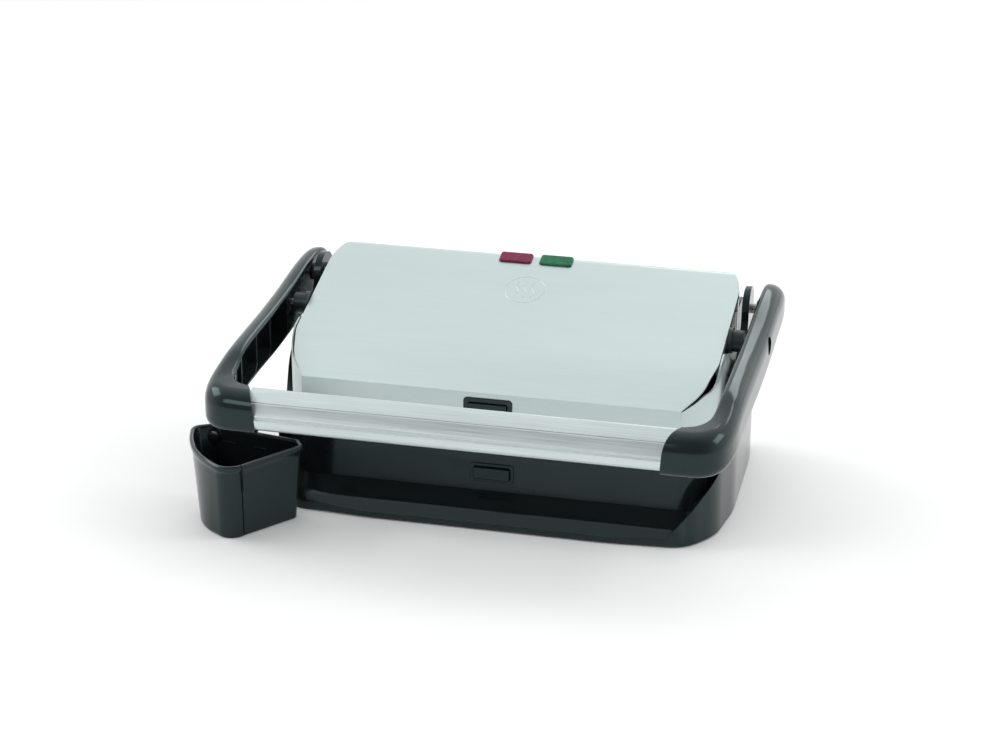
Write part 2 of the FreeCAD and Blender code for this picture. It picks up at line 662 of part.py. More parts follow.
# brushed trim bands wrapped round the front corners, their tops swept up towards the cover's edge
band_outer = prism("band_outer", "XY", lid_plan(-1.2), 60, 160)
band_inner = prism("band_inner", "XY", lid_plan(0), 50, 170)
band_region = prism("band_region", "YZ", [(-5, 71)] + BAND_TOP + [(size("band_back"), 71)], -170, 170)
fascia_room = box("fascia_room", (-140.8, -5, 50), (140.8, 3.0, 110))
trim_band = cut("trim_band", common("band_ring", band_outer, band_region), band_inner, fascia_room)

# lenses, their holder and the glow lamps under them
lenses = []
for colour, x0, x1 in (("red_lens", -size("lens_outer"), -size("lens_inner")),
                       ("green_lens", size("lens_inner"), size("lens_outer"))):
    window = on_slope(colour + "_window", (x0, -lens_half, -6.45), (x1, lens_half, 1.6), 2.3)
    rounded = fillet(colour + "_dome", window, 1.1,
                     lambda edge: edge.BoundBox.ZMin > top_at(size("lens_back")) - 1.2
                     and edge.BoundBox.ZMax > top_at(size("lens_back")) - 0.5)
    lenses.append((colour, rounded))
holder_block = on_slope("holder_block", (-32, -9, -15.0), (32, 4.5, -6.5), 1.0)
holder_rooms = [on_slope("holder_room_%d" % number, (side * size("lamp_across") - 10, -4.5, -13),
                         (side * size("lamp_across") + 10, 3.2, 0), 1.5)
                for number, side in enumerate((-1, 1))]
lamp_holder = cut("lamp_holder", holder_block, *holder_rooms)
glow_lamps = []
for number, side in enumerate((-1, 1)):
    lamp = doc.addObject("Part::Cylinder", "glow_lamp_%d" % number)
    lamp.Radius = size("lamp_radius")
    lamp.Height = size("lamp_length")
    lamp.Placement = Placement(
        Vector(side * size("lamp_across") - size("lamp_length") / 2,
               size("lens_back") + size("lamp_depth") * math.sin(math.radians(LENS_SLOPE)),
               top_at(size("lens_back")) - size("lamp_depth") * math.cos(math.radians(LENS_SLOPE))),
        Rotation(Vector(0, 0, 1), Vector(1, 0, 0)))
    glow_lamps.append(lamp)
indicator_lamps = group("indicator_lamps", glow_lamps)
lid_screws = group("lid_screws", [
    countersunk_screw("lid_screw_%d" % number, x, y, 69.5, 7, 1)
    for number, (x, y) in enumerate(lid_screw_spots)])
lid_wiring = group("lid_wiring", [
    pipe("lid_wire_%d" % number, [
        (side * 60, 120, 91, 0), (side * 60, 120, 96, 3), (side * 60, 140, 100, 5),
        (side * 16, 146, 112, 6), (side * 16, 148, 134, 0)], 1.2)
    for number, side in enumerate((-1, 1))])


# Handle: two arms, a fluted bar between them and the pivots

ARM_TOP = [(-76, 117, 12), (-27, 128.7, 60), (41, 134.7, 300), (96, 147, 60)]
arm_side = prism("arm_side_view", "YZ", [
    (size("bar_front"), 88.5, 9), (size("bar_front"), 110, 13)] + ARM_TOP + [
    (126, 152, 10), (147, 152, 16), (147, 118, 15), (120, 117, 14), (71, 103, 80), (20, 99.5, 200),
    (-30, 95, 90), (-66, 88.5, 40)], 130, 200)
arm_plan = prism("arm_plan_view", "XY", [
    (size("arm_end"), size("bar_front"), 0.6), (181, size("bar_front"), 26),
    (size("handle_half_width"), -58, 40),
    (size("handle_half_width"), 152), (size("arm_inner"), 152), (size("arm_inner"), -46, 20),
    (160, -69.5, 14), (size("arm_end"), -69.5, 0.6)], 70, 170)
arm_solid = common("arm_solid", arm_side, arm_plan)
arm_rounded = fillet(
    "arm_rounded", arm_solid, 4.5,
    lambda edge: edge.BoundBox.XMax > 188 and edge.BoundBox.XMin > 140
    and edge.Length > 12 and edge.BoundBox.ZMax - edge.BoundBox.ZMin < 45
    and edge.BoundBox.YMax - edge.BoundBox.YMin > 8)
channel = common(
    "arm_channel",
    prism("channel_side", "YZ", [
        (-52, 98, 5), (-52, 119, 5), (-27, 125.2, 40), (41, 131.2, 250), (66, 136.0, 5), (66, 105.5, 4),
        (20, 102.8, 200)], 150, 200),
    box("channel_room", (150, -60, 90), (size("handle_half_width") - 3.2, 160, 160)))
channel_ribs = [box("channel_rib_%d" % number, (172.3, y, 96), (187, y + 2.0, 134))
                for number, y in enumerate((-22, 8, 38))]
channel_open = cut("arm_channel_open", channel, *channel_ribs)
hinge_room = cylinder("arm_hinge_room", "YZ", size("hinge_back"), size("hinge_up"),
                      6.5, 165, 183)
float_room = cylinder("arm_float_room", "YZ", size("float_back"), size("float_up"),
                      "float_pin_radius", 165, 184)
float_recess = cylinder("arm_float_recess", "YZ", size("float_back"), size("float_up"), 7.4, 178, 195)
bar_socket = box("bar_socket", (size("arm_end") - 5, -86.6, 95.4), (165, -77.9, 107.1))
arm = cut("arm", arm_rounded, channel_open, hinge_room, float_room, float_recess, bar_socket)
right_arm = group("right_arm", [arm])
left_arm = mirrored("left_arm", arm)

grip_profile = [
    (-73.0, 118.0, 3), (-81.5, 117.2, 6), (-89.6, 110.6, 4), (-91.4, 107.6), (-90.6, 106.9),
    (-92.3, 104.2, 2), (-91.0, 102.6), (-91.0, 100.4), (-92.4, 99.6, 1.0), (-91.2, 94.6, 5),
    (-87.6, 90.4, 4), (-80.0, 89.4, 6), (-72.4, 92.6, 5), (-70.6, 105.0, 20)]
grip_shell = prism("grip_shell", "YZ", grip_profile, "-(arm_end - 0.05)", "arm_end - 0.05")
grip_bore = prism("grip_bore", "YZ", [
    (-86.6, 95.4, 1.6), (-77.9, 95.4, 1.6), (-77.9, 107.1, 1.6), (-86.6, 107.1, 1.6)], -150, 150)
grip_bar = cut("grip_bar", grip_shell, grip_bore)
bar_plug = prism("bar_plug", "YZ", [
    (-86.5, 95.5, 1.8), (-78.0, 95.5, 1.8), (-78.0, 107.0, 1.8), (-86.5, 107.0, 1.8)], 118, 164)
bar_plugs = group("bar_plugs", [bar_plug, mirrored("bar_plug_left", bar_plug)])

hinge_pin = cylinder("hinge_pin_right", "YZ", size("hinge_back"), size("hinge_up"),
                     "hinge_pin_radius", 161.7, 182.6)
hinge_pins = group("hinge_pins", [hinge_pin, mirrored("hinge_pin_left", hinge_pin)])
bush_tube = cylinder("bush_tube", "YZ", size("hinge_back"), size("hinge_up"), 6.5, 172.35, 182.9)
bush_bore = cylinder("bush_bore", "YZ", size("hinge_back"), size("hinge_up"),
                     "hinge_pin_radius + running_gap", 160, 182.7)
hinge_bush = cut("hinge_bush_right", bush_tube, bush_bore)
hinge_bushes = group("hinge_bushes", [hinge_bush, mirrored("hinge_bush_left", hinge_bush)])
float_shank = cylinder("float_shank", "YZ", size("float_back"), size("float_up"),
                       "float_pin_radius", 162.3, 178.1)
float_head = cylinder("float_head", "YZ", size("float_back"), size("float_up"), 5.6, 178.02, 181.5)
float_slot = box("float_slot", (180.3, size("float_back") - 6, size("float_up") - 0.6),
                 (182, size("float_back") + 6, size("float_up") + 0.6))
float_screw = cut("float_screw_right", fuse("float_screw_body", float_shank, float_head), float_slot)
float_screws = group("float_screws", [float_screw, mirrored("float_screw_left", float_screw)])
boss_flange = cylinder("boss_flange", "YZ", size("float_back"), size("float_up"), 9.5, 159.85, 163.0)
boss_tube = cylinder("boss_tube", "YZ", size("float_back"), size("float_up"), 8.0, 159.85, 171.3)
boss_bore = cylinder("boss_bore", "YZ", size("float_back"), size("float_up"),
                     "float_pin_radius + running_gap", 161.9, 175)
float_boss = cut("float_boss_right", fuse("float_boss_body", boss_flange, boss_tube), boss_bore)
float_bosses = group("float_bosses", [float_boss, mirrored("float_boss_left", float_boss)])


# Drip cup: a three-cornered pot with drawn sides and a rolled rim

CUP_RIM = [(-221.5, -15, 8), (-208, -58, 95), (-168, -88.5, 13), (-131, -30, 3.5), (-137, -21, 3),
           (-209, -7.5, 7)]
CUP_FOOT = [(-210, -33, 8), (-200, -62, 45), (-170, -82, 12), (-136, -31.5, 3), (-141, -25, 2.6),
            (-204, -16, 7)]


def ring_of(points, z, inset):
    """A closed wire round a rounded outline moved inwards by inset, at height z."""
    wire = Part.Wire(Part.__sortEdges__([piece.toShape() for piece in rounded_outline(points)]))
    if inset > 0:
        wire = wire.makeOffset2D(-inset)
    wire.translate(Vector(0, 0, z))
    return wire


def cup_loft(low_z, high_z, inset):
    """The cup's outside, or its inside when inset is the wall's thickness."""
    return Part.makeLoft([ring_of(CUP_FOOT, low_z, inset), ring_of(CUP_RIM, high_z, inset)], True)


cup_top = size("cup_height")
cup_wall = size("cup_wall")
rim_band = Part.Face(ring_of(CUP_RIM, cup_top - 2.6, 0).makeOffset2D(0.9)).extrude(Vector(0, 0, 2.6))
cup_body = cup_loft(0, cup_top, 0).fuse(rim_band)
drip_cup = doc.addObject("Part::Feature", "drip_cup")
drip_cup.Shape = cup_body.cut(cup_loft(cup_wall, cup_top + 0.5, cup_wall)).removeSplitter()


SUB_PARTS = {
    "base_shell": base_shell, "lower_housing": lower_housing, "bottom_cover": bottom_cover,
    "bottom_screws": bottom_screws, "rubber_feet": rubber_feet, "storage_feet": storage_feet,
    "lower_plate": lower_plate, "lower_element": lower_element, "lower_reflector": lower_reflector,
    "lower_element_clips": lower_brackets, "lower_thermostat": lower_thermostat,
    "thermal_fuse": thermal_fuse, "terminal_block": terminal_block, "inlet_gland": inlet_gland,
    "base_wiring": base_wiring, "lower_bezel": lower_bezel, "lower_button": lower_button,
    "lower_latch": lower_latch, "lower_button_spring": lower_spring, "hinge_pins": hinge_pins,
    "upper_bezel": upper_bezel, "upper_button": upper_button, "upper_latch": upper_latch,
    "upper_button_spring": upper_spring, "upper_plate": upper_plate, "upper_element": upper_element,
    "upper_reflector": upper_reflector, "upper_element_clips": upper_brackets,
    "upper_thermostat": upper_thermostat, "upper_plate_frame": upper_plate_frame,
    "lid_housing": housing_shell, "lid_rear_cover": lid_rear_cover, "lid_cover": lid_cover,
    "trim_band": trim_band, "red_lens": lenses[0][1], "green_lens": lenses[1][1],
    "lamp_holder": lamp_holder, "indicator_lamps": indicator_lamps, "lid_screws": lid_screws,
    "lid_wiring": lid_wiring, "right_arm": right_arm, "left_arm": left_arm, "grip_bar": grip_bar,
    "bar_plugs": bar_plugs, "hinge_bushes": hinge_bushes, "float_screws": float_screws,
    "float_bosses": float_bosses, "drip_cup": drip_cup,
}

doc.recompute()
shift = Vector(size("frame_shift_x"), size("frame_shift_y"), 0)
for label, item in SUB_PARTS.items():
    item.Label = label
    item.Placement = Placement(shift, Rotation()).multiply(item.Placement)
doc.recompute()

faults = [item.Name + " " + ",".join(item.State) for item in doc.Objects
          if "Invalid" in item.State or "Error" in item.State]
for label, item in SUB_PARTS.items():
    if item.Shape.isNull() or not item.Shape.isValid() or not item.Shape.Solids:
        faults.append(label + " has no valid solid")
if faults:
    raise SystemExit("faults: " + "; ".join(faults))

os.makedirs("parts", exist_ok=True)
for label, item in SUB_PARTS.items():
    item.Shape.exportStep(os.path.join("parts", label + ".step"))
    bounds = item.Shape.BoundBox
    print("%-22s %2d solids %9.1f mm3  x %7.1f %7.1f  y %7.1f %7.1f  z %6.1f %6.1f" % (
        label, len(item.Shape.Solids), item.Shape.Volume, bounds.XMin, bounds.XMax,
        bounds.YMin, bounds.YMax, bounds.ZMin, bounds.ZMax))
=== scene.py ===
"""Panini press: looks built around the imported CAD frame."""
import json
import math

import bmesh
import bpy
from mathutils import Matrix, Vector


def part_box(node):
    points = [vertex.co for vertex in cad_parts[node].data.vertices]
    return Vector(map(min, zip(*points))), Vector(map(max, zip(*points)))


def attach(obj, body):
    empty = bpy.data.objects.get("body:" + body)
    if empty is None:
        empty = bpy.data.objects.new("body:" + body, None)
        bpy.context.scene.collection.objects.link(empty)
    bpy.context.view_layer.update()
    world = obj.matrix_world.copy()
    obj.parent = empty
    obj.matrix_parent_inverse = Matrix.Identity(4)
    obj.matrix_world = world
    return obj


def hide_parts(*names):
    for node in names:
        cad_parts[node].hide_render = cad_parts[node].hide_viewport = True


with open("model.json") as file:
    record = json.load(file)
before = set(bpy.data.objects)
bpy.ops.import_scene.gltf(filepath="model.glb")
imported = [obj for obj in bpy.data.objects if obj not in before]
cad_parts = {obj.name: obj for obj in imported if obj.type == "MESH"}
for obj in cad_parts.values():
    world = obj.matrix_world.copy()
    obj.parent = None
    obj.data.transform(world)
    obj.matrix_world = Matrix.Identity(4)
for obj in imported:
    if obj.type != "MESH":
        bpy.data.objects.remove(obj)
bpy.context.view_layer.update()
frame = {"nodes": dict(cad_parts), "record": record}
nodes = frame["nodes"]

MM = 0.001

# The press's own middle plane and the fold at the top of the lid's front, in the row frame
cover_low, cover_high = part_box("lid_cover")
MIDDLE = (cover_low.x + cover_high.x) / 2
FOLD = cover_low.y


def at(x, y, z):
    """A point given in millimetres from the press's middle plane, the lid's front fold and the table."""
    return Vector((MIDDLE + x * MM, FOLD + y * MM, z * MM))


# Materials ---------------------------------------------------------------------------------------

# Noise stays mostly between these two values, which are spread over the whole range
NOISE_LOW = 0.3
NOISE_HIGH = 0.7
# Pointiness at which an edge starts to look worn, and at which it is wholly worn
WEAR_START = 0.52
WEAR_FULL = 0.62
# How much of a brushed sheet's colour comes from slow clouds, and how much from fine streaks
CLOUD_SHARE = 0.35
STREAK_SHARE = 0.65
# A little blue and green in the shine of black plastic
PLASTIC_SHINE = (0.68, 0.95, 1.0, 1.0)


def new_material(name, color, roughness, metallic=0.0):
    """A principled material, its shader and its node tree."""
    material = bpy.data.materials.new(name)
    material.use_nodes = True
    shader = material.node_tree.nodes["Principled BSDF"]
    shader.inputs["Base Color"].default_value = (*color, 1.0)
    shader.inputs["Roughness"].default_value = roughness
    shader.inputs["Metallic"].default_value = metallic
    return material, shader, material.node_tree


def object_noise(tree, scale, stretch=(1.0, 1.0, 1.0), detail=3.0):
    """Noise in the object's own metres, stretched along an axis by a small factor on it."""
    coordinates = tree.nodes.new("ShaderNodeTexCoord")
    mapping = tree.nodes.new("ShaderNodeMapping")
    mapping.inputs["Scale"].default_value = stretch
    noise = tree.nodes.new("ShaderNodeTexNoise")
    noise.inputs["Scale"].default_value = scale
    noise.inputs["Detail"].default_value = detail
    tree.links.new(coordinates.outputs["Object"], mapping.inputs["Vector"])
    tree.links.new(mapping.outputs["Vector"], noise.inputs["Vector"])
    return noise.outputs["Fac"]


def spread(tree, value, low, high):
    """A value between 0 and 1 spread from low to high."""
    node = tree.nodes.new("ShaderNodeMapRange")
    node.inputs["From Min"].default_value = NOISE_LOW
    node.inputs["From Max"].default_value = NOISE_HIGH
    node.inputs["To Min"].default_value = low
    node.inputs["To Max"].default_value = high
    tree.links.new(value, node.inputs["Value"])
    return node.outputs["Result"]


def blend_colors(tree, value, dark, light):
    """A colour between dark and light, picked by a value."""
    node = tree.nodes.new("ShaderNodeMix")
    node.data_type = "RGBA"
    node.inputs["A"].default_value = (*dark, 1.0)
    node.inputs["B"].default_value = (*light, 1.0)
    tree.links.new(value, node.inputs["Factor"])
    return node.outputs["Result"]


def add_bump(tree, shader, height, strength, distance, after=None):
    """Bump on a shader from a height, on top of an earlier bump if one is given."""
    bump = tree.nodes.new("ShaderNodeBump")
    bump.inputs["Strength"].default_value = strength
    bump.inputs["Distance"].default_value = distance
    tree.links.new(height, bump.inputs["Height"])
    if after is not None:
        tree.links.new(after, bump.inputs["Normal"])
    tree.links.new(bump.outputs["Normal"], shader.inputs["Normal"])
    return bump.outputs["Normal"]


def edge_wear(tree):
    """A value that rises on sharp convex edges."""
    geometry = tree.nodes.new("ShaderNodeNewGeometry")
    ramp = tree.nodes.new("ShaderNodeMapRange")
    ramp.inputs["From Min"].default_value = WEAR_START
    ramp.inputs["From Max"].default_value = WEAR_FULL
    tree.links.new(geometry.outputs["Pointiness"], ramp.inputs["Value"])
    return ramp.outputs["Result"]


def brushed(name, dark, light, roughness, grain):
    """Sheet metal brushed along X: fine streaks in colour, roughness and bump, and slow cloudiness."""
    material, shader, tree = new_material(name, light, roughness, 1.0)
    streaks = object_noise(tree, grain, (0.012, 1.0, 1.0), 6.0)
    clouds = object_noise(tree, 9.0, (0.5, 1.0, 1.0), 2.0)
    mixed = tree.nodes.new("ShaderNodeMath")
    mixed.operation = "MULTIPLY_ADD"
    mixed.inputs[1].default_value = CLOUD_SHARE
    tree.links.new(clouds, mixed.inputs[0])
    scaled = tree.nodes.new("ShaderNodeMath")
    scaled.operation = "MULTIPLY"
    scaled.inputs[1].default_value = STREAK_SHARE
    tree.links.new(streaks, scaled.inputs[0])
    tree.links.new(scaled.outputs["Value"], mixed.inputs[2])
    tone = mixed.outputs["Value"]
    tree.links.new(blend_colors(tree, spread(tree, tone, 0.0, 1.0), dark, light),
                   shader.inputs["Base Color"])
    tree.links.new(spread(tree, streaks, roughness - 0.07, roughness + 0.07),
                   shader.inputs["Roughness"])
    shader.inputs["Anisotropic"].default_value = 0.5
    grain_way = tree.nodes.new("ShaderNodeCombineXYZ")
    grain_way.inputs["X"].default_value = 1.0
    tree.links.new(grain_way.outputs["Vector"], shader.inputs["Tangent"])
    add_bump(tree, shader, streaks, 0.10, 0.00012)
    return material


def moulded(name, color, worn, roughness, grain_bump, gloss=0.4):
    """Moulded plastic: faint ripple, handling marks in the gloss and lighter edges."""
    material, shader, tree = new_material(name, color, roughness)
    handling = object_noise(tree, 22.0, detail=4.0)
    fine = object_noise(tree, 900.0, detail=2.0)
    ripple = object_noise(tree, 40.0, detail=1.0)
    tree.links.new(spread(tree, handling, roughness * 0.8, roughness * 1.3),
                   shader.inputs["Roughness"])
    tree.links.new(blend_colors(tree, edge_wear(tree), color, worn), shader.inputs["Base Color"])
    shader.inputs["Specular IOR Level"].default_value = gloss
    shader.inputs["Specular Tint"].default_value = PLASTIC_SHINE
    first = add_bump(tree, shader, ripple, 0.06, 0.0006)
    add_bump(tree, shader, fine, grain_bump, 0.00008, first)
    return material


def cast(name, color, roughness):
    """Non-stick coating over a casting: fine speckle and a slight orange peel."""
    material, shader, tree = new_material(name, color, roughness)
    speckle = object_noise(tree, 1400.0)
    peel = object_noise(tree, 350.0, detail=2.0)
    lighter = tuple(channel * 2.2 for channel in color)
    tree.links.new(blend_colors(tree, spread(tree, speckle, 0.0, 0.6), color, lighter),
                   shader.inputs["Base Color"])
    tree.links.new(spread(tree, peel, roughness - 0.08, roughness + 0.1), shader.inputs["Roughness"])
    add_bump(tree, shader, peel, 0.25, 0.0002)
    return material


def tinted_lens(name, color, glow):
    """Coloured clear plastic with a faint moulded ripple and light held inside it."""
    material, shader, tree = new_material(name, color, 0.08)
    shader.inputs["Transmission Weight"].default_value = 0.25
    shader.inputs["IOR"].default_value = 1.49
    shader.inputs["Coat Weight"].default_value = 0.15
    shader.inputs["Specular IOR Level"].default_value = 0.22
    shader.inputs["Emission Color"].default_value = (*glow, 1.0)
    shader.inputs["Emission Strength"].default_value = 0.06
    ribbing = object_noise(tree, 260.0, (1.0, 0.15, 1.0), 1.0)
    deeper = tuple(channel * 0.55 for channel in color)
    tree.links.new(blend_colors(tree, spread(tree, ribbing, 0.0, 1.0), deeper, color),
                   shader.inputs["Base Color"])
    add_bump(tree, shader, ribbing, 0.15, 0.0002)
    return material


def woven(name, dark, light):
    """A braided sleeve over a wire."""
    material, shader, tree = new_material(name, light, 0.85)
    braid = object_noise(tree, 2200.0, (1.0, 1.0, 0.6), 2.0)
    tree.links.new(blend_colors(tree, spread(tree, braid, 0.0, 1.0), dark, light),
                   shader.inputs["Base Color"])
    add_bump(tree, shader, braid, 0.5, 0.0003)
    return material


MATERIALS = {
    "gloss_black": moulded("gloss_black", (0.0085, 0.0112, 0.012), (0.02, 0.022, 0.023),
                           0.13, 0.03, 0.42),
    "dark_plastic": moulded("dark_plastic", (0.008, 0.0105, 0.011), (0.03, 0.032, 0.033),
                            0.34, 0.15, 0.3),
    "rubber": moulded("rubber", (0.012, 0.012, 0.012), (0.03, 0.03, 0.03), 0.75, 0.4),
    "nylon": moulded("nylon", (0.02, 0.021, 0.022), (0.05, 0.05, 0.05), 0.3, 0.15),
    "nonstick_cast": cast("nonstick_cast", (0.014, 0.014, 0.015), 0.42),
    "element_steel": brushed("element_steel", (0.2, 0.19, 0.18), (0.36, 0.35, 0.33), 0.4, 900.0),
    "pan_aluminium": brushed("pan_aluminium", (0.6, 0.6, 0.61), (0.76, 0.76, 0.77), 0.38, 700.0),
    "zinc_steel": brushed("zinc_steel", (0.42, 0.42, 0.43), (0.62, 0.62, 0.63), 0.25, 1200.0),
    "brushed_steel": brushed("brushed_steel", (0.50, 0.575, 0.575), (0.56, 0.64, 0.64), 0.40, 1500.0),
    "bar_aluminium": brushed("bar_aluminium", (0.50, 0.565, 0.565), (0.66, 0.73, 0.73), 0.36, 1600.0),
    "red_lens": tinted_lens("red_lens", (0.22, 0.004, 0.05), (0.6, 0.0, 0.14)),
    "green_lens": tinted_lens("green_lens", (0.0, 0.16, 0.06), (0.0, 0.5, 0.2)),
    "lamp_glass": tinted_lens("lamp_glass", (0.8, 0.75, 0.7), (0.4, 0.3, 0.2)),
    "wire_sleeve": woven("wire_sleeve", (0.45, 0.42, 0.37), (0.75, 0.72, 0.65)),
}


# Corners of the mesh closer than this are one corner, and edges sharper than this are rounded
WELD_DISTANCE = 1e-6
BEVEL_ANGLE = math.radians(32)


def dress(piece, slot):
    """Gives a piece one material, by the record's slot name."""
    piece.data.materials.clear()
    piece.data.materials.append(MATERIALS[slot])


def soften(piece, width, segments=2):
    """Rounds a piece's hard edges a little, so that they catch the light."""
    weld = piece.modifiers.new("weld", "WELD")
    weld.merge_threshold = WELD_DISTANCE
    bevel = piece.modifiers.new("bevel", "BEVEL")
    bevel.width = width
    bevel.segments = segments
    bevel.limit_method = "ANGLE"
    bevel.angle_limit = BEVEL_ANGLE
    bevel.use_clamp_overlap = True
    bevel.harden_normals = False
    normals = piece.modifiers.new("normals", "WEIGHTED_NORMAL")
    normals.keep_sharp = True


# Mesh work ----------------------------------------------------------------------------------------

# Edges of a lofted skin sharper than this stay sharp; on the grip bar the finer folds do too
SKIN_ANGLE = math.radians(38)
BAR_ANGLE = math.radians(28)


def rounded(points, steps=6):
    """A closed outline in the plane from corners given as (across, along) or (across, along, radius)."""
    corners = [Vector(point[:2]) for point in points]
    outline = []
    for index, point in enumerate(points):
        here = corners[index]
        if len(point) == 2:
            outline.append(here)
            continue
        back = (corners[index - 1] - here).normalized()
        ahead = (corners[(index + 1) % len(points)] - here).normalized()
        half = back.angle(ahead) / 2
        centre = here + (back + ahead).normalized() * (point[2] / math.sin(half))
        start = here + back * (point[2] / math.tan(half)) - centre
        end = here + ahead * (point[2] / math.tan(half)) - centre
        for step in range(steps + 1):
            outline.append(centre + start.slerp(end, step / steps) * point[2])
    return outline


def eased(keys, place):
    """Values read off keyed rows (place, values...) along a smooth curve through them."""
    last = len(keys) - 1
    index = next((i for i in range(last) if place <= keys[i + 1][0]), last - 1)
    before = keys[max(index - 1, 0)]
    low, high = keys[index], keys[index + 1]
    after = keys[min(index + 2, last)]
    span = high[0] - low[0]
    share = (place - low[0]) / span
    values = []
    for column in range(1, len(low)):
        slope_low = (high[column] - before[column]) / max(high[0] - before[0], 1e-9) * span
        slope_high = (after[column] - low[column]) / max(after[0] - low[0], 1e-9) * span
        square = share * share
        cube = square * share
        values.append((2 * cube - 3 * square + 1) * low[column] + (cube - 2 * square + share) * slope_low
                      + (3 * square - 2 * cube) * high[column] + (cube - square) * slope_high)
    return values


def loft(name, rings):
    """A mesh skin over rings of equally many points, with its ends closed."""
    work = bmesh.new()
    rows = [[work.verts.new(point) for point in ring] for ring in rings]
    for first, second in zip(rows, rows[1:]):
        for index in range(len(first)):
            following = (index + 1) % len(first)
            work.faces.new((first[index], first[following], second[following], second[index]))
    for row in (rows[0], rows[-1]):
        work.faces.new(row)
    bmesh.ops.remove_doubles(work, verts=work.verts, dist=1e-7)
    bmesh.ops.recalc_face_normals(work, faces=work.faces)
    mesh = bpy.data.meshes.new(name)
    work.to_mesh(mesh)
    work.free()
    for polygon in mesh.polygons:
        polygon.use_smooth = True
    mesh.set_sharp_from_angle(angle=SKIN_ANGLE)
    return mesh


def add_piece(name, mesh, body, slot, *replaced):
    """Puts a mesh in the scene as a piece that rides on a body and may stand for CAD nodes."""
    piece = bpy.data.objects.new(name, mesh)
    bpy.context.scene.collection.objects.link(piece)
    dress(piece, slot)
    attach(piece, body)
    if replaced:
        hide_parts(*replaced)
    return piece


def take_out(mesh, cutter):
    """A mesh less the space that a second, closed mesh takes up; both meshes are used up."""
    solid = bpy.data.objects.new("solid", mesh)
    tool = bpy.data.objects.new("tool", cutter)
    for item in (solid, tool):
        bpy.context.scene.collection.objects.link(item)
    boolean = solid.modifiers.new("boolean", "BOOLEAN")
    boolean.operation = "DIFFERENCE"
    boolean.solver = "EXACT"
    boolean.object = tool
    graph = bpy.context.evaluated_depsgraph_get()
    result = bpy.data.meshes.new_from_object(solid.evaluated_get(graph))
    for item in (solid, tool):
        bpy.data.objects.remove(item)
    return result


def round_bar(name, start, end, radius, sides=48):
    """A closed round bar along X between two points."""
    rings = []
    for x in (start.x, end.x):
        rings.append([Vector((x, start.y + radius * math.cos(turn), start.z + radius * math.sin(turn)))
                      for turn in (math.tau * side / sides for side in range(sides))])
    return loft(name, rings)


# Handle arms --------------------------------------------------------------------------------------

# Stations along an arm, from its end over the grip bar round the corner to the hinge: place along the
# arm, inner wall across and back, outer wall across and back, underside and top, all in millimetres
ARM_STATIONS = [
    (0, 143.5, -69.8, 143.5, -92.8, 88.6, 118.2),
    (14, 155.5, -69.8, 158, -92.8, 88.6, 118.4),
    (28, 163.5, -67.0, 172, -91.2, 88.6, 118.8),
    (38, 168.3, -61.5, 181.2, -85.0, 89.2, 119.6),
    (48, 171.0, -54.0, 186.6, -74.5, 90.4, 120.6),
    (60, 172.3, -43.0, 189.4, -58.0, 92.4, 123.2),
    (80, 173.4, -27.0, 189.8, -32.0, 95.4, 128.4),
    (114, 173.8, 8.0, 189.8, 6.0, 98.4, 132.2),
    (148, 173.8, 42.0, 189.8, 41.0, 100.6, 135.0),
    (186, 173.8, 80.0, 189.8, 79.0, 104.8, 139.4),
    (212, 173.8, 106.0, 189.8, 105.0, 109.0, 143.6),
    (232, 173.8, 126.0, 189.8, 125.0, 113.0, 146.4),
    (252, 173.8, 146.0, 189.8, 145.0, 116.6, 147.6),
    (264, 173.8, 158.0, 189.2, 157.0, 119.6, 145.6),
    (271, 173.8, 165.0, 187.6, 164.0, 123.8, 141.4),
    (275, 173.8, 168.8, 185.6, 168.4, 129.0, 136.6),
    (276, 174.0, 169.8, 184.0, 169.6, 131.0, 134.6),
]
ARM_LENGTH = ARM_STATIONS[-1][0]
ARM_STEPS = 96

# Largest corner radii of an arm's section, across and up
OUTER_LOW = (5.5, 7.0)
OUTER_HIGH = (13.5, 14.5)
INNER_HIGH = 3.2
INNER_LOW = 2.4
CORNER_STEPS = 8

# The end over the bar is cut over this length of the arm, back to this depth
END_CUT_LENGTH = 16.0
END_CUT_DEPTH = 12.5

# The channel in an arm's inner side: where it starts and ends along the arm, how deep it is, and the
# lip left above and below it
CHANNEL_START = 54.0
CHANNEL_END = 172.0
CHANNEL_DEPTH = 12.4
CHANNEL_LIP = 3.4
RIB_PLACES = (84, 116, 146)
RIB_THICKNESS = 1.6

# The round recess over the float screw: where its cutter starts and ends across, back, up and radius
RECESS_INNER = 178
RECESS_OUTER = 196
RECESS_BACK = 81
RECESS_UP = 124.5
RECESS_RADIUS = 6.6

# Rounding of the edges of an arm and of its ribs
ARM_EDGE = 0.5
RIB_EDGE = 0.3


